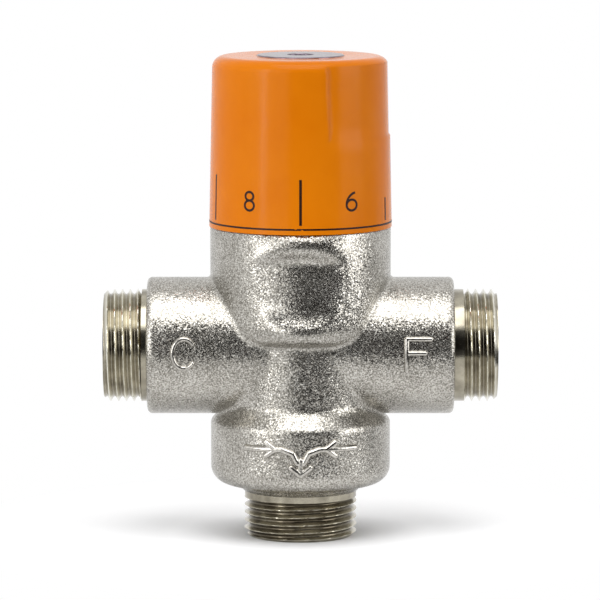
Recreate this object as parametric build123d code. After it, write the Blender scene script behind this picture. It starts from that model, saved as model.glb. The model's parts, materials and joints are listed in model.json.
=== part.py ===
from build123d import *
import os
from math import cos, pi, radians, sin, sqrt, tan

os.makedirs("parts", exist_ok=True)

# All sizes are in millimetres. The origin is the centre of the outlet's end face.
# +Z runs up the spindle, and the inlets point along -X (hot) and +X (cold).
# The front of the valve, where the scale is read, faces -Y.

# Clearances
running_clearance = 0.05
fitted_clearance = 0.10
free_clearance = 0.30
seat_clearance = 0.05
drilling_overrun = 1.0
moulded_edge_radius = 0.5

# Three male ends for a G 3/4 parallel pipe thread
inlet_axis_height = 44.75
inlet_reach = 45.8
thread_diameter = 26.3
inlet_thread_length = 8.7
outlet_thread_length = 9.4
thread_end_chamfer = 1.1
thread_collar_step = 0.2
thread_collar_length = 1.4
inlet_end_wall = 3.15
outlet_end_wall = 3.65

# Bonnet and the neck it screws into
bonnet_thread_diameter = 32.0
bonnet_skirt_step = 0.6
bonnet_flange_width = 2.15
bonnet_flange_thickness = 3.0
bonnet_seat_bore_diameter = 21.0
bonnet_seat_width = 2.4
bonnet_seat_bore_depth = 3.4
bonnet_hexagon_across_flats = 27.0
bonnet_hexagon_height = 9.0
bonnet_tower_diameter = 17.0
bonnet_tower_height = 9.0
bonnet_tower_edge_radius = 0.5
bonnet_seal_section = 1.55
bonnet_seal_above_skirt_end = 1.8
bonnet_collar_pocket_rise = 0.2
neck_wall = 5.05
neck_underside_above_axis = 1.4
neck_underside_radius = 5.0
neck_top_above_axis = 27.8
neck_flat_depth = 2.6
neck_flat_bottom_above_axis = 13.6
neck_flat_height = 8.1
neck_flat_runout_radius = 14.0
neck_flat_edge_radius = 3.0
neck_collar_step = 2.38
neck_collar_height = 3.4

# Cast body below the neck, outside
annulus_step = 0.4
waist_wall = 2.52
waist_overhang = 1.57
arm_edge_radius = 1.2
waist_to_arm_radius = 2.5
neck_to_arm_radius = 0.8
outlet_ring_step = 0.3
outlet_ring_height = 1.4
drum_overhang = 3.43
drum_base_step = 1.2
drum_base_rise = 1.0
drum_base_radius = 4.0
drum_side_top_below_axis = 17.4
drum_shoulder_step = 0.8
drum_shoulder_rise = 2.8
drum_shoulder_radius = 1.8

# Cast body, inside
drum_wall = 3.8
mixing_chamber_floor_height = 15.5
mixing_chamber_floor_radius = 2.0
mixing_chamber_side_height = 9.5
mixing_chamber_roof_chamfer = 3.2
seat_from_axis = 12.8
hot_seat_lip = 0.2
land_height = 5.0
inlet_bore_depth = 18.3
inlet_passage_step = 1.0
annulus_web = 3.5
seal_bore_height = 6.0
seal_bore_above_seat = 2.4

# Knob stop
knob_turn_down = 168.75
knob_turn_up = 101.25
stop_rib_half_angle = 6.0
stop_slack_angle = 0.5
stop_rib_from_hexagon = 0.4
stop_height = 3.0
stop_rib_height = 4.5

# Adjusting spindle
spindle_thread_diameter = 8.0
spindle_thread_length = 9.0
spindle_lead = 4.0
spindle_shaft_diameter = 9.0
spindle_collar_diameter = 13.0
spindle_collar_thickness = 2.05
spindle_seal_section = 1.2
spindle_seal_pitch = 3.3
spindle_above_circlip = 1.0
circlip_diameter = 13.0
circlip_thickness = 0.8
circlip_groove_depth = 0.7
circlip_gap = 5.0
spline_tooth_count = 18
spline_tip_diameter = 8.6
spline_root_diameter = 7.4

# Setting nut with the overtravel cup
nut_across_flats = 17.8
nut_wall = 1.7
nut_cavity_depth = 12.5
nut_above_cold_seat = 4.9
nut_to_collar = 2.1
cup_ring_width = 2.2
cup_ring_thickness = 0.9
cup_ring_groove_depth = 0.7
cup_ring_gap = 3.0
cup_ring_above_nut_end = 0.85
cup_flange_thickness = 2.0
cup_nose_length = 1.5
cup_boss_diameter = 8.6
cup_boss_height = 3.7
overtravel_wire = 1.5
overtravel_turns = 3.5

# Wax element
piston_diameter = 4.0
piston_length = 19.4
element_guide_diameter = 9.0
element_guide_length = 11.0
element_guide_edge_radius = 0.6
element_flange_diameter = 14.6
element_flange_thickness = 3.0
element_flange_edge_radius = 0.8
element_bulb_diameter = 11.0
element_bulb_end_radius = 1.5
element_bulb_below_spider = 22.0

# Shuttle
shuttle_diameter = 23.9
shuttle_wall = 1.15
shuttle_travel = 1.0
spider_thickness = 3.0
spider_top_below_axis = 0.8
spider_hub_diameter = 16.0
spider_spoke_width = 2.4
spider_spoke_count = 4
spider_spoke_root = 0.5
shuttle_seal_section = 1.38
shuttle_seal_band = 4.0
shuttle_seal_floor = 1.1

# Return spring and its seat
return_wire = 1.2
return_spring_to_guide = 0.4
return_turns = 5.0
spring_seat_diameter = 20.8
spring_seat_rim_width = 1.5
spring_seat_thickness = 1.3
spring_seat_top_below_axis = 21.6
spring_seat_leg_width = 3.0
spring_seat_leg_count = 4
guide_ring_wall = 0.8
guide_ring_height = 3.0

# Check valve and strainer in each inlet
check_housing_length = 12.0
check_housing_wall = 2.4
check_seat_width = 2.0
check_seat_thickness = 1.5
check_seal_section = 1.35
check_seal_from_seat = 5.0
check_hub_diameter = 4.8
check_spoke_width = 1.4
check_spoke_count = 3
check_spoke_root = 0.5
check_stem_diameter = 2.5
check_stem_overhang = 0.5
check_disc_lap = 1.1
check_disc_thickness = 1.5
check_wire = 0.7
check_coil_diameter = 6.0
check_turns = 4.0
strainer_rim_height = 1.5
strainer_rim_width = 1.0
strainer_plate_thickness = 0.7
strainer_hole_diameter = 2.4
strainer_hole_pitch = 3.3
strainer_plain_border = 0.5

# Knob, cover disc and screw
knob_overhang = 0.22
knob_height = 39.65
knob_draft_angle = 1.1
knob_top_radius = 2.8
knob_wall = 2.2
knob_inner_radius = 1.5
knob_top_thickness = 3.0
knob_hub_diameter = 14.0
knob_hub_floor = 3.3
knob_rib_thickness = 1.4
knob_rib_depth = 7.5
knob_rib_count = 6
grip_panel_bottom_height = 21.15
grip_panel_depth = 0.35
grip_panel_ledge_height = 0.6
grip_panel_half_angle = 72.0
disc_diameter = 20.3
disc_thickness = 1.0
disc_proud = 0.25
disc_edge_radius = 0.3
screw_diameter = 4.0
screw_core_step = 0.4
screw_length = 12.0
screw_tip_radius = 0.4
screw_head_diameter = 5.7
screw_head_height = 1.5
screw_head_radius = 0.6
screw_head_sunk = 0.4
screw_slot_width = 0.8
screw_slot_length = 3.4
screw_slot_depth = 0.8

# Diameters that follow from the sizes above
collar_on_thread_diameter = thread_diameter - 2 * thread_collar_step
inlet_bore_diameter = thread_diameter - 2 * inlet_end_wall
inlet_passage_diameter = inlet_bore_diameter - 2 * inlet_passage_step
outlet_bore_diameter = thread_diameter - 2 * outlet_end_wall
outlet_ring_diameter = thread_diameter + 2 * outlet_ring_step
drum_base_inner_diameter = outlet_ring_diameter + 2 * drum_base_step
bonnet_skirt_diameter = bonnet_thread_diameter - 2 * bonnet_skirt_step
bonnet_flange_diameter = bonnet_thread_diameter + 2 * bonnet_flange_width
annulus_diameter = bonnet_skirt_diameter - 2 * annulus_step
neck_diameter = bonnet_thread_diameter + 2 * neck_wall
neck_collar_diameter = neck_diameter - 2 * neck_collar_step
knob_bottom_diameter = neck_diameter + 2 * knob_overhang
waist_diameter = annulus_diameter + 2 * waist_wall
arm_diameter = waist_diameter - 2 * waist_overhang
drum_diameter = waist_diameter + 2 * drum_overhang
drum_shoulder_diameter = waist_diameter + 2 * drum_shoulder_step
mixing_chamber_diameter = drum_diameter - 2 * drum_wall
hot_seat_bore_diameter = shuttle_diameter - 2 * shuttle_wall - 2 * hot_seat_lip
stop_rib_inner_diameter = bonnet_hexagon_across_flats / cos(pi / 6) + 2 * stop_rib_from_hexagon
nut_cavity_diameter = nut_across_flats - 2 * nut_wall
bulb_guide_bore = element_bulb_diameter + 2 * free_clearance
bulb_guide_diameter = bulb_guide_bore + 2 * guide_ring_wall
return_coil_diameter = bulb_guide_diameter + 2 * return_spring_to_guide + return_wire

# Heights that follow from the sizes above
outlet_shoulder_height = outlet_thread_length + thread_collar_length
drum_base_height = outlet_shoulder_height + outlet_ring_height
drum_side_top_height = inlet_axis_height - drum_side_top_below_axis
neck_underside_height = inlet_axis_height + neck_underside_above_axis
neck_top_height = inlet_axis_height + neck_top_above_axis
neck_collar_top_height = neck_top_height + neck_collar_height
neck_flat_bottom_height = inlet_axis_height + neck_flat_bottom_above_axis
hot_seat_height = inlet_axis_height - seat_from_axis
cold_seat_height = inlet_axis_height + seat_from_axis
seal_bore_bottom = cold_seat_height + seal_bore_above_seat
seal_bore_top = seal_bore_bottom + seal_bore_height
bonnet_skirt_bottom = seal_bore_bottom + free_clearance
bonnet_seal_height = bonnet_skirt_bottom + bonnet_seal_above_skirt_end + bonnet_seal_section / 2
bonnet_hexagon_bottom = neck_collar_top_height + bonnet_flange_thickness
tower_bottom = bonnet_hexagon_bottom + bonnet_hexagon_height
tower_top = tower_bottom + bonnet_tower_height
arm_end = inlet_reach - inlet_thread_length - thread_collar_length
inlet_bore_end = inlet_reach - inlet_bore_depth
collar_shoulder_height = tower_bottom + bonnet_collar_pocket_rise
spindle_collar_top = collar_shoulder_height - seat_clearance
spindle_collar_bottom = spindle_collar_top - spindle_collar_thickness
circlip_bottom = tower_top + free_clearance
circlip_top = circlip_bottom + circlip_thickness
shaft_top = circlip_top + spindle_above_circlip
nut_bottom = cold_seat_height + nut_above_cold_seat
nut_top = spindle_collar_bottom - nut_to_collar
nut_roof = nut_bottom + nut_cavity_depth
cup_ring_bottom = nut_bottom + cup_ring_above_nut_end
cup_flange_bottom = cup_ring_bottom + cup_ring_thickness + seat_clearance
cup_flange_top = cup_flange_bottom + cup_flange_thickness
cup_nose_bottom = cup_ring_bottom - cup_nose_length
shuttle_bottom = hot_seat_height + shuttle_travel + seat_clearance
shuttle_top = cold_seat_height - shuttle_travel - seat_clearance
spider_top = inlet_axis_height - spider_top_below_axis
spider_bottom = spider_top - spider_thickness
spring_seat_top = inlet_axis_height - spring_seat_top_below_axis
knob_bottom = neck_top_height + free_clearance
knob_top = knob_bottom + knob_height
disc_top = knob_top + disc_proud
disc_bottom = disc_top - disc_thickness
screw_head_top = disc_top - screw_head_sunk
screw_head_bottom = screw_head_top - screw_head_height
spindle_top = screw_head_bottom - knob_hub_floor


def rounded_face(corners):
    """Flat face whose outline runs through (x, y, radius) corners, each rounded by its radius."""
    edges = []
    starts = []
    ends = []
    for index, (x, y, radius) in enumerate(corners):
        here = Vector(x, y)
        before = (Vector(*corners[index - 1][:2]) - here).normalized()
        after = (Vector(*corners[(index + 1) % len(corners)][:2]) - here).normalized()
        if radius == 0:
            starts.append(here)
            ends.append(here)
            continue
        half_angle = radians(before.get_angle(after)) / 2
        reach = radius / tan(half_angle)
        start = here + before * reach
        end = here + after * reach
        bisector = (before + after).normalized()
        middle = here + bisector * (radius / sin(half_angle) - radius)
        edges.append(ThreePointArc(start, middle, end))
        starts.append(start)
        ends.append(end)
    for index in range(len(corners)):
        leaving = ends[index - 1]
        arriving = starts[index]
        if (arriving - leaving).length > 1e-6:
            edges.append(Line(leaving, arriving))
    return make_face(edges)


def turned(*corners):
    """Solid of revolution about Z from (radius, height, rounding) corners."""
    return revolve(Plane.XZ * rounded_face(corners), Axis.Z)


def rod(diameter, bottom, top):
    """Upright round bar between two heights."""
    return turned((0, bottom, 0), (diameter / 2, bottom, 0), (diameter / 2, top, 0), (0, top, 0))


def tube(outer_diameter, inner_diameter, bottom, top):
    """Upright round tube between two heights."""
    inner = inner_diameter / 2
    outer = outer_diameter / 2
    return turned((inner, bottom, 0), (outer, bottom, 0), (outer, top, 0), (inner, top, 0))


def hexagonal(across_flats, bottom, top):
    """Upright hexagonal bar with two flats facing front and back."""
    outline = RegularPolygon(across_flats / 2, 6, major_radius=False, rotation=30)
    return Pos(0, 0, bottom) * extrude(outline, top - bottom)


def ring_seal(outer_diameter, section, height):
    """O-ring whose outside diameter and section are given, centred at a height."""
    middle = outer_diameter / 2 - section / 2
    return Pos(0, 0, height) * Torus(middle, section / 2)


def ring_groove(outer_diameter, section, height):
    """Square groove that holds an O-ring of that section in a shaft or skirt."""
    width = section + 2 * fitted_clearance
    return tube(
        outer_diameter + 2 * drilling_overrun,
        outer_diameter - 2 * section,
        height - width / 2,
        height + width / 2,
    )


def spokes(count, width, reach, bottom, top):
    """Straight bars from the axis outwards, equally spaced."""
    bar = Pos(reach / 2, 0, (bottom + top) / 2) * Box(reach, width, top - bottom)
    return Part() + [Rot(0, 0, index * 360 / count) * bar for index in range(count)]


def coil_spring(coil_diameter, wire, turns, bottom, top):
    """Round-wire helical spring whose wire lies between two heights."""
    height = top - bottom - wire
    path = Helix(pitch=height / turns, height=height, radius=coil_diameter / 2)
    section = Plane(origin=path @ 0, z_dir=path % 0) * Circle(wire / 2)
    return Pos(0, 0, bottom + wire / 2) * sweep(section, path=path, is_frenet=True)


def on_port(piece, side):
    """Turns a piece built along +Z so that it lies along one inlet, +1 cold or -1 hot."""
    return Pos(0, 0, inlet_axis_height) * Rot(0, 90 * side, 0) * piece


def thread_blank(end, shoulder):
    """Corners of a male end, from its end face to the shoulder behind its plain collar."""
    major = thread_diameter / 2
    collar = collar_on_thread_diameter / 2
    inward = 1 if shoulder > end else -1
    chamfer_end = end + inward * thread_end_chamfer
    collar_end = shoulder - inward * thread_collar_length
    return [
        (major - thread_end_chamfer, end, 0),
        (major, chamfer_end, 0),
        (major, collar_end, 0),
        (collar, collar_end, 0),
        (collar, shoulder, 0),
    ]


def curved_edges(shape, bottom, top):
    """Edges between two heights that are neither straight nor circular, as where two bars meet."""
    return [
        edge
        for edge in shape.edges()
        if edge.geom_type not in (GeomType.LINE, GeomType.CIRCLE)
        and edge.bounding_box().min.Z > bottom
        and edge.bounding_box().max.Z < top
    ]


def cast_cross():
    """Waist and both side arms, blended where they meet."""
    half_height = arm_diameter / 2 + 2 * waist_to_arm_radius
    waist = rod(waist_diameter, inlet_axis_height - half_height, inlet_axis_height + half_height)
    cross = waist + cast_arm(1) + cast_arm(-1)
    return fillet(curved_edges(cross, 0, neck_top_height), waist_to_arm_radius)


def cast_drum():
    """Outlet end and drum, turned in one outline up to where the drum's shoulder meets the waist."""
    ring = outlet_ring_diameter / 2
    base = drum_base_inner_diameter / 2
    drum = drum_diameter / 2
    shoulder = drum_shoulder_diameter / 2
    waist = waist_diameter / 2
    shoulder_top = drum_side_top_height + drum_shoulder_rise
    return turned(
        (0, 0, 0),
        *thread_blank(0, outlet_shoulder_height),
        (ring, outlet_shoulder_height, 0),
        (base, drum_base_height, 0),
        (drum, drum_base_height + drum_base_rise, drum_base_radius),
        (drum, drum_side_top_height, drum_shoulder_radius),
        (shoulder, shoulder_top, drum_shoulder_radius),
        (waist, shoulder_top + drum_shoulder_rise / 2, drum_shoulder_radius),
        (waist, inlet_axis_height, 0),
        (0, inlet_axis_height, 0),
    )


def cast_arm(side):
    """One side arm with its male end."""
    arm = arm_diameter / 2
    blank = turned(
        (0, 0, 0),
        (arm, 0, 0),
        (arm, arm_end, arm_edge_radius),
        *reversed(thread_blank(inlet_reach, arm_end)),
        (0, inlet_reach, 0),
    )
    return on_port(blank, side)


def cast_neck():
    """Round neck, rounded underneath, with the collar that the knob turns around."""
    neck = neck_diameter / 2
    collar = neck_collar_diameter / 2
    return turned(
        (0, neck_underside_height, 0),
        (neck, neck_underside_height, neck_underside_radius),
        (neck, neck_top_height, 0),
        (collar, neck_top_height, 0),
        (collar, neck_collar_top_height, 0),
        (0, neck_collar_top_height, 0),
    )


def neck_flat_cutter():
    """Leaves a shallow flat on the front of the neck, under a sloping ledge and running out below."""
    neck = neck_diameter / 2
    flat = neck - neck_flat_depth
    clear = neck + drilling_overrun
    flat_top = neck_flat_bottom_height + neck_flat_height
    ledge_top = flat_top + clear - flat
    centre_above_flat = neck_flat_runout_radius - neck_flat_depth
    runout_bottom = neck_flat_bottom_height - sqrt(neck_flat_runout_radius**2 - centre_above_flat**2)
    flat_end = (-flat, neck_flat_bottom_height)
    runout_end = (-neck, runout_bottom)
    outline = make_face(
        [
            Line(flat_end, (-flat, flat_top)),
            Line((-flat, flat_top), (-clear, ledge_top)),
            Line((-clear, ledge_top), (-clear, runout_bottom)),
            Line((-clear, runout_bottom), runout_end),
            RadiusArc(runout_end, flat_end, -neck_flat_runout_radius),
        ]
    )
    return extrude(Plane.YZ * outline, neck, both=True)


def neck_flat_edges(casting):
    """Edges around both flats, apart from the lower one, where each flat runs out."""
    return [
        edge
        for edge in casting.edges()
        if edge.geom_type != GeomType.CIRCLE
        and edge.bounding_box().max.Z > neck_flat_bottom_height - drilling_overrun
        and abs(edge.center().Y) > neck_diameter / 2 - neck_flat_depth - drilling_overrun
    ]


def water_ways():
    """Everything that is hollow in the body: chambers, land, seats, bores and passages."""
    mixing = mixing_chamber_diameter / 2
    roof = mixing_chamber_floor_height + mixing_chamber_side_height
    chamfer = mixing_chamber_roof_chamfer
    outlet = outlet_bore_diameter / 2
    hot_bore = hot_seat_bore_diameter / 2
    annulus = annulus_diameter / 2
    land = shuttle_diameter / 2 + running_clearance
    land_bottom = inlet_axis_height - land_height / 2
    land_top = inlet_axis_height + land_height / 2
    seal = bonnet_skirt_diameter / 2 + fitted_clearance
    thread = bonnet_thread_diameter / 2 + running_clearance
    stack = turned(
        (0, 0, 0),
        (outlet, 0, 0),
        (outlet, mixing_chamber_floor_height, 0),
        (mixing, mixing_chamber_floor_height, mixing_chamber_floor_radius),
        (mixing, roof, 0),
        (mixing - chamfer, roof + chamfer, 0),
        (hot_bore, roof + chamfer, 0),
        (hot_bore, hot_seat_height, 0),
        (annulus, hot_seat_height, 0),
        (annulus, land_bottom, 0),
        (land, land_bottom, 0),
        (land, land_top, 0),
        (annulus, land_top, 0),
        (annulus, seal_bore_bottom, 0),
        (seal, seal_bore_bottom, 0),
        (seal, seal_bore_top, 0),
        (thread, seal_bore_top, 0),
        (thread, neck_collar_top_height, 0),
        (0, neck_collar_top_height, 0),
    )
    for side in (1, -1):
        web_end = annulus_diameter / 2 + annulus_web
        passage = inlet_passage_diameter
        blind = rod(inlet_bore_diameter, inlet_bore_end, inlet_reach)
        blind += rod(passage, web_end, inlet_bore_end)
        opening = on_port(rod(passage, land, web_end), side)
        half = Pos(0, 0, inlet_axis_height + side * (land_height / 2 + passage)) * Box(
            4 * inlet_reach, passage * 2, passage * 2
        )
        stack += on_port(blind, side)
        stack += opening & half
    return stack


def make_valve_body():
    """One casting, blended where its bars meet and around the neck's flats, then bored."""
    casting = cast_cross() + cast_drum() + cast_neck()
    neck_edges = curved_edges(casting, inlet_axis_height, neck_top_height)
    casting = fillet(neck_edges, neck_to_arm_radius)
    for angle in (0, 180):
        casting -= Rot(0, 0, angle) * neck_flat_cutter()
    return fillet(neck_flat_edges(casting), neck_flat_edge_radius) - water_ways()


def make_bonnet():
    """Turned brass insert that closes the neck, with a hexagon bore that keeps the nut from turning."""
    seat_bore = bonnet_seat_bore_diameter / 2
    rim = seat_bore + bonnet_seat_width
    skirt = bonnet_skirt_diameter / 2
    thread = bonnet_thread_diameter / 2
    flange = bonnet_flange_diameter / 2
    tower = bonnet_tower_diameter / 2
    outside = turned(
        (0, cold_seat_height, 0),
        (rim, cold_seat_height, 0),
        (annulus_diameter / 2 - free_clearance, bonnet_skirt_bottom, 0),
        (skirt, bonnet_skirt_bottom, 0),
        (skirt, seal_bore_top + free_clearance, 0),
        (thread, seal_bore_top + free_clearance, 0),
        (thread, neck_collar_top_height, 0),
        (flange, neck_collar_top_height, 0),
        (flange, bonnet_hexagon_bottom, 0),
        (tower, bonnet_hexagon_bottom, 0),
        (tower, tower_top, bonnet_tower_edge_radius),
        (0, tower_top, 0),
    )
    nut_bore = nut_across_flats + 2 * fitted_clearance
    collar_bore = spindle_collar_diameter + 2 * free_clearance
    shaft_bore = spindle_shaft_diameter + 2 * running_clearance
    pocket_bottom = spindle_collar_bottom - free_clearance
    nut_bore_bottom = cold_seat_height + bonnet_seat_bore_depth
    bonnet = outside + hexagonal(bonnet_hexagon_across_flats, bonnet_hexagon_bottom, tower_bottom)
    bonnet += stop_lug()
    bonnet -= rod(bonnet_seat_bore_diameter, cold_seat_height, nut_bore_bottom)
    bonnet -= hexagonal(nut_bore, nut_bore_bottom, pocket_bottom)
    bonnet -= rod(collar_bore, pocket_bottom, collar_shoulder_height)
    bonnet -= rod(shaft_bore, collar_shoulder_height, tower_top)
    return bonnet - ring_groove(bonnet_skirt_diameter, bonnet_seal_section, bonnet_seal_height)


def arc_block(inner_diameter, outer_diameter, half_angle, middle_angle, bottom, top):
    """Part of a ring between two heights, centred on an angle about Z."""
    inner = inner_diameter / 2
    outer = outer_diameter / 2
    section = Plane.XZ * make_face(
        Polyline((inner, bottom), (outer, bottom), (outer, top), (inner, top), close=True)
    )
    block = revolve(section, Axis.Z, 2 * half_angle)
    return Rot(0, 0, middle_angle - half_angle) * block


def stop_lug():
    """Lug on the bonnet flange that the knob's rib meets at both ends of its turn."""
    half_angle = (360 - knob_turn_up - knob_turn_down) / 2 - stop_rib_half_angle - stop_slack_angle
    middle_angle = -90 + (knob_turn_up - knob_turn_down) / 2 + 180
    return arc_block(
        stop_rib_inner_diameter,
        bonnet_flange_diameter,
        half_angle,
        middle_angle,
        bonnet_hexagon_bottom,
        bonnet_hexagon_bottom + stop_height,
    )


def make_bonnet_o_ring():
    return ring_seal(bonnet_skirt_diameter, bonnet_seal_section, bonnet_seal_height)


def spindle_seal_heights():
    """Middle heights of the two O-rings, spread evenly about the middle of the shaft."""
    middle = (collar_shoulder_height + tower_top) / 2
    return [middle - spindle_seal_pitch / 2, middle + spindle_seal_pitch / 2]


def spline_outline(clearance):
    """Star outline of a fine spline, wider by a clearance for the hole."""
    corners = []
    for index in range(2 * spline_tooth_count):
        diameter = spline_tip_diameter if index % 2 == 0 else spline_root_diameter
        angle = pi * index / spline_tooth_count
        radius = diameter / 2 + clearance
        corners.append((radius * cos(angle), radius * sin(angle)))
    return make_face(Polyline(*corners, close=True))


def make_adjusting_spindle():
    """Shaft with a thrust collar, a thread below it and a splined head above."""
    thread_bottom = spindle_collar_bottom - spindle_thread_length
    spindle = rod(spindle_thread_diameter, thread_bottom, spindle_collar_bottom)
    spindle += rod(spindle_collar_diameter, spindle_collar_bottom, spindle_collar_top)
    spindle += rod(spindle_shaft_diameter, spindle_collar_top, shaft_top)
    spindle += Pos(0, 0, shaft_top) * extrude(spline_outline(0), spindle_top - shaft_top)
    for height in spindle_seal_heights():
        spindle -= ring_groove(spindle_shaft_diameter, spindle_seal_section, height)
    spindle -= tube(
        spindle_shaft_diameter + 2 * drilling_overrun,
        spindle_shaft_diameter - 2 * circlip_groove_depth,
        circlip_bottom - fitted_clearance,
        circlip_top + fitted_clearance,
    )
    screw_hole = screw_diameter - 2 * screw_core_step + fitted_clearance
    hole_bottom = screw_head_bottom - screw_length - drilling_overrun
    return spindle - rod(screw_hole, hole_bottom, spindle_top)


def make_spindle_o_rings():
    seals = [
        ring_seal(spindle_shaft_diameter, spindle_seal_section, height)
        for height in spindle_seal_heights()
    ]
    return Compound(children=seals)


def open_ring(inner_diameter, outer_diameter, gap, bottom, top):
    """Flat snap ring with a gap in it, facing +X."""
    ring = tube(outer_diameter, inner_diameter, bottom, top)
    slit = Box(outer_diameter, gap, top - bottom + 2 * drilling_overrun)
    return ring - Pos(outer_diameter / 2, 0, (bottom + top) / 2) * slit


def make_spindle_circlip():
    inner = spindle_shaft_diameter - 2 * circlip_groove_depth + 2 * fitted_clearance
    return open_ring(inner, circlip_diameter, circlip_gap, circlip_bottom, circlip_top)


def make_setting_nut():
    """Hexagonal nut that carries the overtravel cup in a cavity at its lower end."""
    thread_bore = spindle_thread_diameter + 2 * running_clearance
    ring_bottom = cup_ring_bottom - seat_clearance
    ring_top = cup_ring_bottom + cup_ring_thickness + seat_clearance
    groove_diameter = nut_cavity_diameter + 2 * cup_ring_groove_depth
    nut = hexagonal(nut_across_flats, nut_bottom, nut_top)
    nut -= rod(nut_cavity_diameter, nut_bottom, nut_roof)
    nut -= rod(thread_bore, nut_roof, nut_top)
    return nut - rod(groove_diameter, ring_bottom, ring_top)


def make_cup_ring():
    outer = nut_cavity_diameter + 2 * cup_ring_groove_depth - 2 * fitted_clearance
    inner = nut_cavity_diameter - 2 * cup_ring_width
    top = cup_ring_bottom + cup_ring_thickness
    return open_ring(inner, outer, cup_ring_gap, cup_ring_bottom, top)


def make_overtravel_cup():
    """Flanged cup that takes the push of the wax piston and yields if the outlet overheats."""
    flange = nut_cavity_diameter / 2 - running_clearance
    nose = nut_cavity_diameter / 2 - cup_ring_width - free_clearance
    boss = cup_boss_diameter / 2
    boss_top = cup_flange_top + cup_boss_height
    cup = turned(
        (0, cup_nose_bottom, 0),
        (nose, cup_nose_bottom, moulded_edge_radius),
        (nose, cup_flange_bottom, 0),
        (flange, cup_flange_bottom, 0),
        (flange, cup_flange_top, 0),
        (boss, cup_flange_top, 0),
        (boss, boss_top, moulded_edge_radius),
        (0, boss_top, 0),
    )
    socket = piston_diameter + 2 * fitted_clearance
    return cup - rod(socket, cup_nose_bottom, cup_ring_bottom)


def make_overtravel_spring():
    middle_diameter = (cup_boss_diameter + nut_cavity_diameter) / 2
    return coil_spring(
        middle_diameter,
        overtravel_wire,
        overtravel_turns,
        cup_flange_top + free_clearance / 3,
        nut_roof - free_clearance / 3,
    )


def make_element_piston():
    top = cup_ring_bottom - seat_clearance
    return rod(piston_diameter, top - piston_length, top)


def make_wax_element():
    """Copper capsule: guide above, flange on the shuttle's hub, wax bulb below."""
    guide = element_guide_diameter / 2
    flange = element_flange_diameter / 2
    bulb = element_bulb_diameter / 2
    flange_bottom = spider_top
    flange_top = flange_bottom + element_flange_thickness
    guide_top = flange_top + element_guide_length
    bulb_bottom = spider_bottom - element_bulb_below_spider
    capsule = turned(
        (0, bulb_bottom, 0),
        (bulb, bulb_bottom, element_bulb_end_radius),
        (bulb, flange_bottom, 0),
        (flange, flange_bottom, 0),
        (flange, flange_top, element_flange_edge_radius),
        (guide, flange_top, 0),
        (guide, guide_top, element_guide_edge_radius),
        (0, guide_top, 0),
    )
    piston_bore = piston_diameter + 2 * running_clearance
    nut_drop = knob_turn_down / 360 * spindle_lead
    deepest = cup_ring_bottom - piston_length - nut_drop - shuttle_travel
    return capsule - rod(piston_bore, deepest - drilling_overrun, guide_top)


def make_shuttle():
    """Sleeve whose two rims close on the hot and cold seats, with a spider for the wax element."""
    outer = shuttle_diameter / 2
    inner = outer - shuttle_wall
    band = outer - shuttle_seal_section - shuttle_seal_floor
    band_bottom = inlet_axis_height - shuttle_seal_band / 2
    band_top = inlet_axis_height + shuttle_seal_band / 2
    slope = inner - band
    sleeve = turned(
        (inner, shuttle_bottom, 0),
        (outer, shuttle_bottom, 0),
        (outer, shuttle_top, 0),
        (inner, shuttle_top, 0),
        (inner, band_top + slope, 0),
        (band, band_top, 0),
        (band, band_bottom, 0),
        (inner, band_bottom - slope, 0),
    )
    sleeve -= ring_groove(shuttle_diameter, shuttle_seal_section, inlet_axis_height)
    hub_bore = element_bulb_diameter + 2 * fitted_clearance
    reach = band + spider_spoke_root
    spider = spokes(spider_spoke_count, spider_spoke_width, reach, spider_bottom, spider_top)
    spider += rod(spider_hub_diameter, spider_bottom, spider_top)
    return sleeve + spider - rod(hub_bore, spider_bottom, spider_top)


def make_shuttle_o_ring():
    return ring_seal(shuttle_diameter, shuttle_seal_section, inlet_axis_height)


def make_spring_seat():
    """Open basket on the mixing chamber's floor: it carries the return spring and guides the bulb."""
    floor = mixing_chamber_floor_height
    top = spring_seat_top
    rim_inner = spring_seat_diameter - 2 * spring_seat_rim_width
    wall = tube(spring_seat_diameter, rim_inner, floor, top)
    legs = spokes(spring_seat_leg_count, spring_seat_leg_width, spring_seat_diameter, floor, top)
    seat = tube(spring_seat_diameter, rim_inner, floor, floor + spring_seat_thickness)
    seat += wall & legs
    seat += rod(spring_seat_diameter, top - spring_seat_thickness, top)
    seat += rod(bulb_guide_diameter, top - spring_seat_thickness, top + guide_ring_height)
    return seat - rod(bulb_guide_bore, floor, top + guide_ring_height)


def make_return_spring():
    return coil_spring(
        return_coil_diameter,
        return_wire,
        return_turns,
        spring_seat_top + free_clearance / 3,
        spider_bottom - free_clearance / 3,
    )


def check_places():
    """Distances from the valve's centre: housing's inner end, seat face and outer end."""
    inner_end = inlet_bore_end + fitted_clearance
    outer_end = inner_end + check_housing_length
    return inner_end, outer_end - check_seat_thickness, outer_end


def check_bores():
    """Diameters of the check valve's housing outside, inside and at its seat."""
    outside = inlet_bore_diameter - 2 * fitted_clearance
    inside = outside - 2 * check_housing_wall
    return outside, inside, inside - 2 * check_seat_width


def make_check_housing(side):
    """Short tube with a valve seat at its outer end and a stem guide at its inner end."""
    inner_end, seat_face, outer_end = check_places()
    outside, inside, seat_bore = check_bores()
    stem_bore = check_stem_diameter + 2 * running_clearance
    spider_end = inner_end + check_seat_thickness
    housing = tube(outside, inside, inner_end, outer_end)
    housing += tube(inside + check_spoke_root, seat_bore, seat_face, outer_end)
    spoke_reach = inside / 2 + check_spoke_root
    housing += spokes(check_spoke_count, check_spoke_width, spoke_reach, inner_end, spider_end)
    housing += rod(check_hub_diameter, inner_end, spider_end)
    housing -= rod(stem_bore, inner_end, spider_end)
    housing -= ring_groove(outside, check_seal_section, seat_face - check_seal_from_seat)
    return on_port(housing, side)


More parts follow.
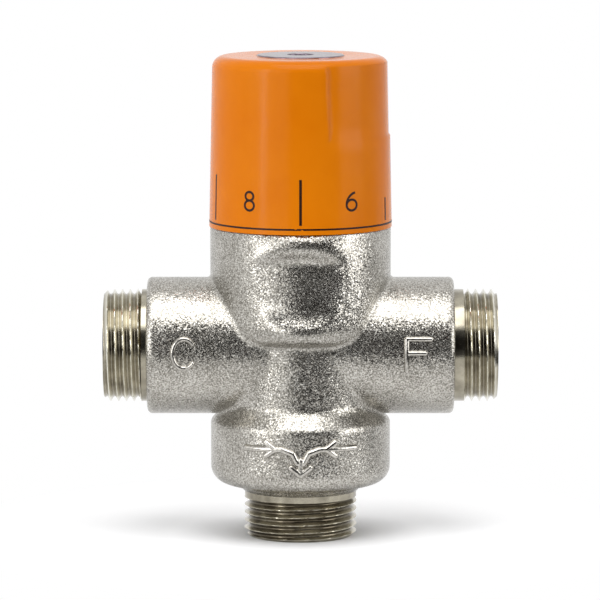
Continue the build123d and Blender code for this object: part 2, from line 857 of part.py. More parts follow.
def make_check_o_ring(side):
    height = check_places()[1] - check_seal_from_seat
    return on_port(ring_seal(check_bores()[0], check_seal_section, height), side)


def make_check_poppet(side):
    """Disc that closes on the seat from inside, on a stem that slides in the housing's guide."""
    inner_end, seat_face, outer_end = check_places()
    disc_outer = seat_face - seat_clearance
    disc_inner = disc_outer - check_disc_thickness
    stem_end = inner_end - check_stem_overhang
    stem = check_stem_diameter / 2
    disc = check_bores()[2] / 2 + check_disc_lap
    poppet = turned(
        (0, stem_end, 0),
        (stem, stem_end, 0),
        (stem, disc_inner, 0),
        (disc, disc_inner, 0),
        (disc, disc_outer, moulded_edge_radius),
        (0, disc_outer, 0),
    )
    return on_port(poppet, side)


def make_check_spring(side):
    inner_end, seat_face, outer_end = check_places()
    bottom = inner_end + check_seat_thickness + free_clearance / 3
    top = seat_face - seat_clearance - check_disc_thickness - free_clearance / 3
    return on_port(coil_spring(check_coil_diameter, check_wire, check_turns, bottom, top), side)


def make_strainer(side):
    """Perforated stainless plate in a shallow rim, pushed in against the check valve."""
    bottom = check_places()[2] + fitted_clearance
    outside = inlet_bore_diameter - 2 * fitted_clearance
    inside = outside - 2 * strainer_rim_width
    strainer = rod(outside, bottom, bottom + strainer_plate_thickness)
    strainer += tube(outside, inside, bottom, bottom + strainer_rim_height)
    hole = rod(strainer_hole_diameter, bottom, bottom + strainer_plate_thickness)
    reach = inside / 2 - strainer_hole_diameter / 2 - strainer_plain_border
    rows = int(reach / strainer_hole_pitch) + 1
    holes = []
    for row in range(-rows, rows + 1):
        for column in range(-rows, rows + 1):
            x = (column + row / 2) * strainer_hole_pitch
            y = row * strainer_hole_pitch * sqrt(3) / 2
            if sqrt(x * x + y * y) <= reach:
                holes.append(Pos(x, y, 0) * hole)
    return on_port(strainer - holes, side)


def knob_radius(height, inset=0.0):
    """Radius of the drafted side of the knob at a height, less an inset."""
    return knob_bottom_diameter / 2 - inset - (height - knob_bottom) * tan(radians(knob_draft_angle))


def knob_shape(inset, bottom, top, rounding):
    """Solid drafted cap shape, smaller than the knob's outside by an inset."""
    return turned(
        (0, bottom, 0),
        (knob_radius(bottom, inset), bottom, 0),
        (knob_radius(top, inset), top, rounding),
        (0, top, 0),
    )


def grip_panel_cutter():
    """Part of a ring that leaves a shallow panel on the knob's side, above a sloping ledge."""
    bottom = knob_bottom + grip_panel_bottom_height
    ledge_top = bottom + grip_panel_ledge_height
    clear = knob_bottom_diameter / 2 + drilling_overrun
    clear_top = knob_top + drilling_overrun
    section = Plane.XZ * make_face(
        Polyline(
            (knob_radius(bottom), bottom),
            (knob_radius(ledge_top, grip_panel_depth), ledge_top),
            (knob_radius(clear_top, grip_panel_depth), clear_top),
            (clear, clear_top),
            (clear, bottom),
            close=True,
        )
    )
    return Rot(0, 0, -grip_panel_half_angle) * revolve(section, Axis.Z, 2 * grip_panel_half_angle)


def make_knob_cap():
    """Moulded cap with a hub for the spindle, radial ribs, a stop rib and a grip panel."""
    ceiling = knob_top - knob_top_thickness
    hub_bottom = shaft_top + free_clearance / 3
    inner = knob_shape(knob_wall, knob_bottom, ceiling, knob_inner_radius)
    cap = knob_shape(0, knob_bottom, knob_top, knob_top_radius) - inner - grip_panel_cutter()
    rib_bottom = ceiling - knob_rib_depth
    ribs = spokes(knob_rib_count, knob_rib_thickness, knob_bottom_diameter / 2, rib_bottom, ceiling)
    cap += (ribs & inner) + rod(knob_hub_diameter, hub_bottom, ceiling)
    stop_bottom = bonnet_hexagon_bottom + free_clearance
    stop_rib = arc_block(
        stop_rib_inner_diameter,
        knob_bottom_diameter,
        stop_rib_half_angle,
        -90,
        stop_bottom,
        stop_bottom + stop_rib_height,
    )
    cap += stop_rib & knob_shape(knob_wall / 2, knob_bottom, ceiling, knob_inner_radius)
    spline = extrude(spline_outline(fitted_clearance), spindle_top - hub_bottom)
    cap -= Pos(0, 0, hub_bottom) * spline
    cap -= rod(screw_diameter + 4 * fitted_clearance, spindle_top, knob_top)
    cap -= rod(screw_head_diameter + 4 * fitted_clearance, screw_head_bottom, knob_top)
    return cap - rod(disc_diameter + 2 * fitted_clearance, disc_bottom, knob_top)


def make_cover_disc():
    """Thin metal disc let into the knob, with a hole for the screw head."""
    hole = screw_head_diameter / 2 + 2 * fitted_clearance
    return turned(
        (hole, disc_bottom, 0),
        (disc_diameter / 2, disc_bottom, 0),
        (disc_diameter / 2, disc_top, disc_edge_radius),
        (hole, disc_top, disc_edge_radius),
    )


def make_knob_screw():
    """Cross-recessed screw that holds the knob on the spindle."""
    head = screw_head_diameter / 2
    shank = screw_diameter / 2 - screw_core_step
    screw = turned(
        (0, screw_head_bottom - screw_length, 0),
        (shank, screw_head_bottom - screw_length, screw_tip_radius),
        (shank, screw_head_bottom, 0),
        (head, screw_head_bottom, 0),
        (head, screw_head_top, screw_head_radius),
        (0, screw_head_top, 0),
    )
    slot = Box(screw_slot_length, screw_slot_width, screw_slot_depth)
    cross = slot + Rot(0, 0, 90) * slot
    return screw - Pos(0, 0, screw_head_top - screw_slot_depth / 2) * cross


nodes = {
    "valve_body": make_valve_body(),
    "bonnet": make_bonnet(),
    "bonnet_o_ring": make_bonnet_o_ring(),
    "adjusting_spindle": make_adjusting_spindle(),
    "spindle_o_rings": make_spindle_o_rings(),
    "spindle_circlip": make_spindle_circlip(),
    "setting_nut": make_setting_nut(),
    "cup_ring": make_cup_ring(),
    "overtravel_cup": make_overtravel_cup(),
    "overtravel_spring": make_overtravel_spring(),
    "element_piston": make_element_piston(),
    "wax_element": make_wax_element(),
    "shuttle": make_shuttle(),
    "shuttle_o_ring": make_shuttle_o_ring(),
    "return_spring": make_return_spring(),
    "spring_seat": make_spring_seat(),
    "knob_cap": make_knob_cap(),
    "cover_disc": make_cover_disc(),
    "knob_screw": make_knob_screw(),
}
for water, side in (("hot", -1), ("cold", 1)):
    nodes[f"{water}_check_housing"] = make_check_housing(side)
    nodes[f"{water}_check_o_ring"] = make_check_o_ring(side)
    nodes[f"{water}_check_poppet"] = make_check_poppet(side)
    nodes[f"{water}_check_spring"] = make_check_spring(side)
    nodes[f"{water}_strainer"] = make_strainer(side)

for name, shape in nodes.items():
    export_step(shape, f"parts/{name}.step")
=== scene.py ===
import json
from math import cos, pi, radians, sin, tan

import bmesh
import bpy
import numpy as np
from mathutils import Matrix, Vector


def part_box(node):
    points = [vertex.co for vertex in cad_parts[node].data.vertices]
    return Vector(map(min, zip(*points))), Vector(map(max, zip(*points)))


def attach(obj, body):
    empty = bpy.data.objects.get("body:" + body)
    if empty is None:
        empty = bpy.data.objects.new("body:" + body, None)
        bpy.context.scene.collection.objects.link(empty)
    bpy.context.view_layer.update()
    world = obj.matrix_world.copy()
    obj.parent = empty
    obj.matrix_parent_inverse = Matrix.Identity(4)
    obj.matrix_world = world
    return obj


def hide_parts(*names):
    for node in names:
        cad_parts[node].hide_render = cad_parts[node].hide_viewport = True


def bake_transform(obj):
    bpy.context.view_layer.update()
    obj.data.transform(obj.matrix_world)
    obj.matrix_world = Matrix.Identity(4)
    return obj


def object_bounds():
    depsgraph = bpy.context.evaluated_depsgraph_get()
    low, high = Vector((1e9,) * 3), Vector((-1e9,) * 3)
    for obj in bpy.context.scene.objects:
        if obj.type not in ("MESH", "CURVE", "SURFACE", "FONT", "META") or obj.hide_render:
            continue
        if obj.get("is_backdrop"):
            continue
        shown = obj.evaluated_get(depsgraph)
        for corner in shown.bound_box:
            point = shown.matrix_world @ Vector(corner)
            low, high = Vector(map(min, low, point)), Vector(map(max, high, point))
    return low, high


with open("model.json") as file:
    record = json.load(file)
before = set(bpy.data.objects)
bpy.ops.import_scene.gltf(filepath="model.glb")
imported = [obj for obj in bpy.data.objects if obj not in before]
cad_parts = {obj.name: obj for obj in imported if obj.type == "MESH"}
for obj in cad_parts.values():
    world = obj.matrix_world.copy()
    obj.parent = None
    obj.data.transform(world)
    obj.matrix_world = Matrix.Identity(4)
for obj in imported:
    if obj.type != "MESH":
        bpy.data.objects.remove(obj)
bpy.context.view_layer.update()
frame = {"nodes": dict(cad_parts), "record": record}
mm = 0.001


# Valve body, the casting
# One brass casting with neck, waist, drum and two arms. It is shot-blasted and nickel plated,
# which leaves a grainy, warm grey skin; only its three pipe ends are turned bright.
class Number:
    """A number that varies over a surface. Arithmetic on it adds Math nodes."""

    def __init__(self, nodes, socket):
        self.nodes = nodes
        self.socket = socket

    def math(self, operation, first, second):
        return self.nodes.node("ShaderNodeMath", {"operation": operation}, {0: first, 1: second})

    def __add__(self, other):
        return self.math("ADD", self, other)

    def __radd__(self, other):
        return self.math("ADD", other, self)

    def __mul__(self, other):
        return self.math("MULTIPLY", self, other)

    def __rmul__(self, other):
        return self.math("MULTIPLY", other, self)

    def __abs__(self):
        return self.math("ABSOLUTE", self, 0)


class Nodes:
    """The nodes of a material or a world; its node method makes any of them."""

    def __init__(self, owner):
        owner.use_nodes = True
        self.tree = owner.node_tree

    def node(self, kind, settings=None, sockets=None, output=0):
        made = self.tree.nodes.new(kind)
        for key, value in (settings or {}).items():
            if key == "stops":
                self.set_stops(made.color_ramp, value)
            else:
                setattr(made, key, value)
        for key, value in (sockets or {}).items():
            self.feed(made.inputs[key], value)
        return Number(self, made.outputs[output])

    def set_stops(self, ramp, stops):
        while len(ramp.elements) < len(stops):
            ramp.elements.new(0.5)
        for element, (place, colour) in zip(ramp.elements, stops):
            element.position = place
            element.color = (*colour, 1.0)

    def feed(self, socket, value):
        if isinstance(value, Number):
            self.tree.links.new(value.socket, socket)
        elif socket.type == "RGBA":
            socket.default_value = (*value, 1.0)
        else:
            socket.default_value = value

    def place(self):
        """Object coordinates of the surface, in metres."""
        return self.node("ShaderNodeTexCoord", output="Object")

    def vector(self, operation, *vectors, output="Vector"):
        """Vector Math on one vector or two."""
        sockets = dict(enumerate(vectors))
        return self.node("ShaderNodeVectorMath", {"operation": operation}, sockets, output)

    def split(self, vector):
        """The three parts of a vector."""
        first = self.node("ShaderNodeSeparateXYZ", None, {"Vector": vector})
        return [Number(self, part) for part in first.socket.node.outputs]

    def between(self, number, start, full):
        """0 up to the start and 1 from full on, whichever way round they lie."""
        sockets = {"Value": number, "From Min": start, "From Max": full}
        return self.node("ShaderNodeMapRange", None, sockets)


class Finish(Nodes):
    """A material with one Principled shader, and the patterns that its sockets are fed with."""

    def __init__(self, name):
        self.material = bpy.data.materials.new(name)
        super().__init__(self.material)
        self.shader = self.tree.nodes["Principled BSDF"]

    def set(self, **values):
        """Feeds the shader's sockets: Base_Color=..., Roughness=... and so on."""
        for key, value in values.items():
            self.feed(self.shader.inputs[key.replace("_", " ")], value)
        return self

    def noise(self, size, detail, where=None):
        """Cloudy number from 0 to 1 whose features are about that many metres wide."""
        sockets = {"Vector": where or self.place(), "Scale": 1.0 / size, "Detail": detail}
        return self.node("ShaderNodeTexNoise", None, sockets)

    def ramp(self, number, *stops):
        """Colour that runs through the stops, each a (place, colour), as the number grows."""
        return self.node("ShaderNodeValToRGB", {"stops": stops}, {"Fac": number})

    def spread(self, number, low, high):
        """Stretches the middle of a noise, 0.3 to 0.7, over the range from low to high."""
        sockets = {"Value": number, "From Min": 0.3, "From Max": 0.7, "To Min": low, "To Max": high}
        return self.node("ShaderNodeMapRange", None, sockets)

    def bump(self, height, distance, after=None):
        """Normal of a skin raised by height * distance, on top of another normal if it is given."""
        sockets = {"Height": height, "Distance": distance}
        if after is not None:
            sockets["Normal"] = after
        return self.node("ShaderNodeBump", None, sockets)


def facets(finish, size, slope):
    """Height of a skin broken into small flat facets, each tilted at random up to a slope:
    twice the slope * (the way from the middle of its cell . a random vector of its own)."""
    place = finish.place()
    cells = {"Vector": place, "Scale": 1.0 / size}
    middle = finish.node("ShaderNodeTexVoronoi", None, cells, "Position")
    own_colour = finish.node("ShaderNodeTexVoronoi", None, cells, "Color")
    tilt = finish.vector("SUBTRACT", own_colour, (0.5, 0.5, 0.5))
    away = finish.vector("SUBTRACT", place, middle)
    return finish.vector("DOT_PRODUCT", away, tilt, output="Value") * (2 * slope)


casting_edge_radius = 1.6 * mm
panel_crown_radius = 23 * mm
# Where the crown fades in: from none at the first value to its full roundness at the second.
panel_side = (13.5 * mm, 11.5 * mm)
panel_foot = (46 * mm, 49 * mm)
panel_top = (68.5 * mm, 66 * mm)
panel_facing = (0.93, 0.985)


def rounded_casting(finish):
    """Normal of the casting: edges rounded, and the neck's two panels as round as the neck.
    There it leans sideways by across / crown radius, and less towards the panel's rim."""
    normal = finish.node("ShaderNodeBevel", {"samples": 6}, {"Radius": casting_edge_radius})
    across, _, up = finish.split(finish.place())
    _, facing, _ = finish.split(normal)
    lean = across * (1 / panel_crown_radius)
    lean = lean * finish.between(abs(across), *panel_side)
    lean = lean * finish.between(abs(facing), *panel_facing)
    lean = lean * finish.between(up, *panel_foot) * finish.between(up, *panel_top)
    sideways = finish.node("ShaderNodeCombineXYZ", None, {"X": lean})
    return finish.vector("NORMALIZE", finish.vector("ADD", normal, sideways))


def blasted_nickel():
    """Nickel plate over a shot-blasted casting: small facets, with larger soft unevenness."""
    finish = Finish("blasted_nickel")
    dents = finish.noise(0.36 * mm, 1.0)
    waves = finish.noise(4.5 * mm, 1.0)
    stains = finish.noise(9.0 * mm, 3.0)
    # Grain tone is partly painted light: the dents' low points are painted darker as shade in the
    # pits, and their high points lighter as glints.
    pit, skin, peak = (0.18, 0.17, 0.146), (0.39, 0.372, 0.336), (0.61, 0.595, 0.555)
    shade = dents + finish.spread(stains, -0.05, 0.05)
    coarse = finish.bump(waves, 0.06 * mm, after=rounded_casting(finish))
    rolled = finish.bump(dents, 0.05 * mm, after=coarse)
    facet_height = facets(finish, size=0.30 * mm, slope=0.11)
    return finish.set(
        Base_Color=finish.ramp(shade, (0.3, pit), (0.5, skin), (0.7, peak)),
        Metallic=1.0,
        Roughness=finish.spread(dents, 0.16, 0.23),
        Normal=finish.bump(facet_height, 1.0, after=rolled),
    ).material


def join_body(piece, body, slot, *nodes):
    """Lets a finished piece ride on its body and hides the nodes that it stands for.
    The slot is not used.
    """
    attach(piece, body)
    if nodes:
        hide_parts(*nodes)
    return piece


weld_distance = 0.002 * mm
sharp_edge = radians(32)


def welded_copy(node, name, material):
    """Copy of a CAD node as one smooth-shaded skin with its true edges kept sharp."""
    skin = bmesh.new()
    skin.from_mesh(frame["nodes"][node].data)
    bmesh.ops.remove_doubles(skin, verts=skin.verts, dist=weld_distance)
    mesh = bpy.data.meshes.new(name)
    skin.to_mesh(mesh)
    skin.free()
    mesh.materials.clear()
    mesh.materials.append(material)
    mesh.shade_smooth()
    mesh.set_sharp_from_angle(angle=sharp_edge)
    piece = bpy.data.objects.new(name, mesh)
    bpy.context.scene.collection.objects.link(piece)
    weighting = piece.modifiers.new("flat_faces_first", "WEIGHTED_NORMAL")
    weighting.keep_sharp = True
    return piece


mounts = {mount["name"]: mount for mount in frame["record"]["mounts"]}
inlet_height = mounts["hot_inlet"]["pos_m"][2]
crest_radius = mounts["hot_inlet"]["dims"]["r_mm"] * mm
inlet_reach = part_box("valve_body")[1].x
# The solid's ends are plain cylinders over that length, as wide as the crests.
plain_length = 10.85 * mm
thread_depth = 1.162 * mm
thread_slack = 0.1 * mm
core_radius = crest_radius - thread_depth - thread_slack

# Outward axis and middle of the end face of each of the three ends.
ports = {
    "hot": (np.array([-1.0, 0, 0]), np.array([-inlet_reach, 0, inlet_height])),
    "cold": (np.array([1.0, 0, 0]), np.array([inlet_reach, 0, inlet_height])),
    "mixed": (np.array([0, 0, -1.0]), np.array([0.0, 0, 0])),
}


def strip_threads(mesh):
    """Draws every point of the plain pipe ends in to the core radius, under the cut thread."""
    points = np.empty(len(mesh.vertices) * 3, np.float32)
    mesh.vertices.foreach_get("co", points)
    points = points.reshape(-1, 3).astype(float)
    for outward, end in ports.values():
        along = (points - end) @ outward
        axis_points = end + along[:, None] * outward
        away = points - axis_points
        radius = np.linalg.norm(away, axis=1)
        on_thread = (radius > core_radius) & (radius < crest_radius + thread_slack)
        moved = on_thread & (along > -plain_length)
        shrink = core_radius / radius[moved]
        points[moved] = axis_points[moved] + away[moved] * shrink[:, None]
    mesh.vertices.foreach_set("co", points.astype(np.float32).ravel())
    mesh.update()


casting = welded_copy("valve_body", "casting", blasted_nickel())
strip_threads(casting.data)
join_body(casting, "valve", "nickel_plated_brass", "valve_body")


# Valve body, the pipe ends
# Each of the three male ends is turned on a lathe after casting: a G 3/4 thread, 14 to the inch,
# with a chamfered end and a plain collar behind it. The cut plate is smooth and bright.
def turned_nickel():
    """Machined nickel plate with random stains, painted shade in the thread's roots and a painted
    highlight on its crests.
    """
    finish = Finish("turned_nickel")
    stains = finish.noise(4.0 * mm, 4.0)
    scratches = finish.noise(0.25 * mm, 2.0)
    # A stored level of painted light: painted shade in the thread's roots, a painted highlight on
    # its crests.
    height = finish.node("ShaderNodeAttribute", {"attribute_name": "thread_height"}, output="Fac")
    shade = height + finish.spread(stains, -0.12, 0.12)
    # Colours of the painted shade in the roots, of the flanks, and of the painted highlight on the
    # crests.
    root, flank, crest = (0.11, 0.095, 0.07), (0.42, 0.39, 0.31), (0.80, 0.78, 0.70)
    return finish.set(
        Base_Color=finish.ramp(shade, (0.0, root), (0.3, flank), (0.95, crest)),
        Metallic=1.0,
        Roughness=finish.spread(stains, 0.13, 0.22),
        Normal=finish.bump(scratches, 0.008 * mm),
    ).material


def new_piece(name, points, faces, material, sharp_angle):
    """Piece from points and faces: doubles merged, faces turned outwards, smooth-shaded up to
    an angle in degrees."""
    mesh = bpy.data.meshes.new(name)
    mesh.from_pydata(points.reshape(-1, 3).tolist(), [], faces.tolist())
    skin = bmesh.new()
    skin.from_mesh(mesh)
    bmesh.ops.remove_doubles(skin, verts=skin.verts, dist=0.0005 * mm)
    bmesh.ops.dissolve_degenerate(skin, edges=skin.edges, dist=0.0002 * mm)
    bmesh.ops.recalc_face_normals(skin, faces=skin.faces)
    skin.to_mesh(mesh)
    skin.free()
    mesh.materials.append(material)
    mesh.shade_smooth()
    mesh.set_sharp_from_angle(angle=radians(sharp_angle))
    piece = bpy.data.objects.new(name, mesh)
    bpy.context.scene.collection.objects.link(piece)
    return piece


thread_pitch = 25.4 * mm / 14
thread_peak = 1.1 * thread_depth
pitch_samples = 22
turn_samples = 160
collar_radius = crest_radius - 0.08 * mm
chamfer_radius = crest_radius - 1.1 * mm
sleeve_radius = core_radius - 0.05 * mm


def thread_rings(length, collar_length, start_turn):
    """Radius over (height, turn) of a pipe end from its shoulder, height 0, to its end face.

    The flanks meet in a narrow crest and a round root: radius = root + peak * (1 -
    |cos(pi * phase)|), cut off at the crest, with phase = height / pitch - turn. It ends
    at the plain collar, and at the end chamfer, which falls a millimetre per millimetre.
    """
    steps = int(round(length / thread_pitch * pitch_samples))
    height = np.linspace(0, length, steps)[:, None]
    turn = np.linspace(0, 1, turn_samples, endpoint=False)[None, :]
    phase = height / thread_pitch - turn - start_turn
    rise = thread_peak * (1 - np.abs(np.cos(pi * phase)))
    radius = np.minimum(crest_radius - thread_depth + rise, crest_radius)
    radius = np.where(height < collar_length, collar_radius, radius)
    chamfer = chamfer_radius + (length - height)
    return height + 0 * turn, np.minimum(radius, chamfer), turn + 0 * height


def closed_quads(rows, columns):
    """Faces of a grid of points that wraps round both ways."""
    row = np.arange(rows)[:, None]
    column = np.arange(columns)[None, :]
    next_row = (row + 1) % rows
    next_column = (column + 1) % columns
    corners = [
        row * columns + column,
        row * columns + next_column,
        next_row * columns + next_column,
        next_row * columns + column,
    ]
    return np.stack(corners, -1).reshape(-1, 4)


def pipe_end(name, outward, end, length, collar_length, start_turn):
    """Threaded sleeve as a closed ring: thread outside, end face, and a wall inside the core."""
    height, radius, turn = thread_rings(length, collar_length, start_turn)
    wall = np.full((1, turn_samples), sleeve_radius)
    end_height = np.full((1, turn_samples), length)
    height = np.concatenate([0 * end_height, height, end_height])
    radius = np.concatenate([wall, radius, wall])
    angle = 2 * pi * np.concatenate([turn[:1], turn, turn[:1]])
    side = np.array([0.0, 1.0, 0.0])
    up = np.cross(outward, side)
    ring = np.cos(angle)[..., None] * side + np.sin(angle)[..., None] * up
    points = end + (height - length)[..., None] * outward + radius[..., None] * ring
    return new_piece(name, points, closed_quads(*height.shape), turned_plate, 50)


# Fixed level of painted light on the collar and the end face, a little darker than the flanks.
collar_painted_level = 0.22
face_margin = 0.1 * mm


def paint_thread_light(mesh, outward, end, thread_length, root_painted_shade, crest_painted_highlight):
    """Stores the painted light of each point: painted shade in a root, up to a painted highlight
    on a crest. The collar and the end face have one fixed painted level."""
    points = np.empty(len(mesh.vertices) * 3)
    mesh.vertices.foreach_get("co", points)
    points = points.reshape(-1, 3) - end
    along = points @ outward
    radius = np.linalg.norm(points - along[:, None] * outward, axis=1)
    height = (radius - crest_radius + thread_depth) / thread_depth
    # Painted shade in the roots rising to a painted highlight on the crests.
    painted_light = root_painted_shade + (crest_painted_highlight - root_painted_shade) * np.clip(height, 0, 1)
    painted_light[(along > -face_margin) | (along < -thread_length)] = collar_painted_level
    layer = mesh.attributes.new("thread_height", "FLOAT", "POINT")
    layer.data.foreach_set("value", painted_light)


turned_plate = turned_nickel()
# Length, collar's length and start of the thread in turns; level of the painted shade in its
# roots and of the painted highlight on its crests, both darker on the mixed end as painted
# shade under the valve.
end_shapes = {
    "hot": (10.1 * mm, 1.3 * mm, 0.96, 0.14, 0.95),
    "cold": (10.1 * mm, 2.3 * mm, 0.13, 0.14, 0.95),
    "mixed": (10.8 * mm, 1.5 * mm, 0.71, 0.0, 0.52),
}
for water, (length, collar_length, start_turn, root_painted_shade, crest_painted_highlight) in end_shapes.items():
    outward, end = ports[water]
    name = f"{water}_pipe_thread"
    piece = pipe_end(name, outward, end, length, collar_length, start_turn)
    thread_length = length - collar_length - 0.05 * mm
    paint_thread_light(piece.data, outward, end, thread_length, root_painted_shade, crest_painted_highlight)
    join_body(piece, "valve", "nickel_plated_brass")


# Raised marks on the casting
# The pattern leaves a C on the hot arm and an F on the cold arm, for the Italian caldo and freddo,
# and a flow sign on the drum: two streams that meet and leave as one.
def cast_mark_nickel():
    """The same plating on raised letters and signs, whose tops are rubbed smoother."""
    finish = Finish("cast_mark_nickel")
    dents = finish.noise(0.5 * mm, 1.0)
    return finish.set(
        Base_Color=finish.ramp(dents, (0.35, (0.36, 0.345, 0.315)), (0.65, (0.54, 0.52, 0.48))),
        Metallic=1.0,
        Roughness=finish.spread(dents, 0.14, 0.2),
        Normal=finish.bump(dents, 0.03 * mm),
    ).material


def arc(centre, radius, start, stop, count):
    """Chain of points on an arc, angles in degrees from the right, anticlockwise."""
    angle = np.radians(np.linspace(start, stop, count))
    return list(zip(centre[0] + radius * np.cos(angle), centre[1] + radius * np.sin(angle)))


def stroke_distance(across, up, strokes):
    """Distance from every grid point to the nearest stroke, each a chain of (across, up) points."""
    nearest = np.full(across.shape, 1.0)
    for stroke in strokes:
        for (x0, y0), (x1, y1) in zip(stroke[:-1], stroke[1:]):
            dx, dy = x1 - x0, y1 - y0
            share = ((across - x0) * dx + (up - y0) * dy) / (dx * dx + dy * dy)
            share = np.clip(share, 0, 1)
            gap = np.hypot(across - x0 - share * dx, up - y0 - share * dy)
            nearest = np.minimum(nearest, gap)
    return nearest


def open_quads(rows, columns):
    """Faces of a grid of points with four open sides."""
    row = np.arange(rows - 1)[:, None]
    column = np.arange(columns - 1)[None, :]
    first = (row * columns + column).ravel()
    return np.stack([first, first + columns, first + columns + 1, first + 1], -1)


mark_step = 0.11 * mm
mark_sink = 0.2 * mm
mark_thickness = 0.8 * mm


def raised_mark(name, strokes, width, height, margin, wrap):
    """Closed patch on a curved wall, with a round bead along each stroke: lift = (height +
    sink) * sqrt(1 - (distance / half width)^2) - sink, so its rim lies just under the wall."""
    chain = np.array([point for stroke in strokes for point in stroke])
    low, high = chain.min(0) - margin, chain.max(0) + margin
    across = np.arange(low[0], high[0], mark_step)
    up = np.arange(low[1], high[1], mark_step)
    across, up = np.meshgrid(across, up, indexing="ij")
    distance = stroke_distance(across, up, strokes)
    bead = np.sqrt(np.clip(1 - (2 * distance / width) ** 2, 0, 1))
    lift = (height + mark_sink) * bead - mark_sink
    top = wrap(across, up, lift)
    floor = wrap(across, up, 0 * lift - mark_thickness)
    rows, columns = across.shape
    count = rows * columns
    quads = open_quads(rows, columns)
    sides = [
        np.arange(columns),
        np.arange(1, rows) * columns + columns - 1,
        (rows - 1) * columns + np.arange(columns - 2, -1, -1),
        np.arange(rows - 2, 0, -1) * columns,
    ]
    edge = np.concatenate(sides)
    after = np.roll(edge, -1)
    skirt = np.stack([edge, after, after + count, edge + count], -1)
    faces = np.concatenate([quads, quads[:, ::-1] + count, skirt])
    points = np.concatenate([top.reshape(-1, 3), floor.reshape(-1, 3)])
    piece = new_piece(name, points, faces, rubbed_nickel, 60)
    return join_body(piece, "valve", "nickel_plated_brass")


arm_radius = 15.95 * mm
drum_radius = 20.98 * mm


def on_arm(across, up, lift):
    """Wraps a flat pattern round the arms, with up measured along the skin from the front line."""
    angle = up / arm_radius
    radius = arm_radius + lift
    return np.stack([across, -radius * np.cos(angle), inlet_height + radius * np.sin(angle)], -1)


def on_drum(across, up, lift):
    """Wraps a flat pattern round the drum's upright wall."""
    angle = across / drum_radius
    radius = drum_radius + lift
    return np.stack([radius * np.sin(angle), -radius * np.cos(angle), up + 0 * across], -1)


rubbed_nickel = cast_mark_nickel()
letter_width = 1.25 * mm
letter_height = 0.6 * mm
c_centre = (-26.9 * mm, 0.0)
c_radius = 2.65 * mm
c_stretch = 1.3
c_strokes = [[(x, c_stretch * up) for x, up in arc(c_centre, c_radius, 42, 318, 24)]]
f_left, f_right = 24.5 * mm, 30.1 * mm
f_top, f_middle, f_bottom = 3.4 * mm, 0.2 * mm, -4.0 * mm
f_bar_end = f_right - 1.3 * mm
f_strokes = [
    [(f_left, f_bottom), (f_left, f_top), (f_right, f_top)],
    [(f_left, f_middle), (f_bar_end, f_middle)],
]
for name, strokes in {"letter_c": c_strokes, "letter_f": f_strokes}.items():
    raised_mark(name, strokes, letter_width, letter_height, letter_width, on_arm)

sign_width = 1.6 * mm
sign_relief = 0.8 * mm
sign_margin = 1.2 * mm
sign_height = inlet_height - 24.0 * mm
sign_rise = 2.4 * mm
sign_drop = 3.5 * mm
barb_place = 6.0 * mm
barb_length = 2.2 * mm
# A stream runs level from its outer end and then bends down to the middle, as points of
# (distance from the middle, share of the sign's rise).
stream = [(13.4 * mm, 1.0), (4.4 * mm, 1.0), (1.8 * mm, 0.6), (0.7 * mm, -0.3)]


def flow_sign():
    """Strokes of the flow sign: an arrow in from each side, and one arrow out below."""
    strokes = []
    top = sign_height + sign_rise
    for side in (-1, 1):
        strokes.append([(side * away, sign_height + share * sign_rise) for away, share in stream])
        tip, tail = side * barb_place, side * (barb_place + barb_length)
        spread = 0.7 * barb_length
        strokes.append([(tail, top + spread), (tip, top), (tail, top - spread)])
    foot = sign_height - sign_drop
    barb_top = foot + 0.8 * barb_length
    strokes.append([(0.0, sign_height - 0.1 * mm), (0.0, foot)])
    strokes.append([(-barb_length, barb_top), (0.0, foot), (barb_length, barb_top)])
    return strokes


raised_mark("flow_sign", flow_sign(), sign_width, sign_relief, sign_margin, on_drum)


# Pieces inside the valve
# Bonnet, spindle and setting nut are turned brass; the shuttle, cup and seats are white acetal,
# the check valve housings black; springs and strainers are stainless, the seals black rubber.
def turned_metal(name, dark, light, roughness):
    """Bare turned metal with soft stains and fine scratches."""
    finish = Finish(name)
    stains = finish.noise(3.0 * mm, 3.0)
    scratches = finish.noise(0.2 * mm, 2.0)
    return finish.set(
        Base_Color=finish.ramp(stains, (0.35, dark), (0.65, light)),
        Metallic=1.0,
        Roughness=finish.spread(stains, roughness, roughness + 0.1),
        Normal=finish.bump(scratches, 0.006 * mm),
    ).material


def moulded(name, dark, light, roughness, grain):
    """Moulded plastic or rubber with a fine grain."""
    finish = Finish(name)
    clouds = finish.noise(5.0 * mm, 2.0)
    fine = finish.noise(0.15 * mm, 2.0)
    return finish.set(
        Base_Color=finish.ramp(clouds, (0.35, dark), (0.65, light)),
        Roughness=finish.spread(clouds, roughness, roughness + 0.08),
        Normal=finish.bump(fine, grain),
    ).material


# Dark colour, light colour, roughness, and the grain of what is moulded.
inner_metals = {
    "turned_brass": ((0.58, 0.42, 0.18), (0.70, 0.54, 0.27), 0.22),
    "spring_steel": ((0.42, 0.42, 0.42), (0.55, 0.55, 0.55), 0.25),
    "stainless_steel": ((0.55, 0.55, 0.55), (0.66, 0.66, 0.66), 0.2),
    "copper_capsule": ((0.52, 0.27, 0.16), (0.66, 0.37, 0.24), 0.25),
}
inner_plastics = {
    "seal_rubber": ((0.010, 0.010, 0.011), (0.020, 0.020, 0.021), 0.5, 0.01 * mm),
    "white_acetal": ((0.72, 0.71, 0.66), (0.78, 0.77, 0.72), 0.4, 0.006 * mm),
    "black_acetal": ((0.015, 0.015, 0.016), (0.028, 0.028, 0.03), 0.42, 0.008 * mm),
}
inner_finishes = {slot: turned_metal(slot, *look) for slot, look in inner_metals.items()}
inner_finishes.update({slot: moulded(slot, *look) for slot, look in inner_plastics.items()})
slot_of = {part["node"]: part["material_slot"] for part in frame["record"]["subparts"]}
for node, slot in slot_of.items():
    if slot in inner_finishes:
        data = frame["nodes"][node].data
        data.materials.clear()
        data.materials.append(inner_finishes[slot])
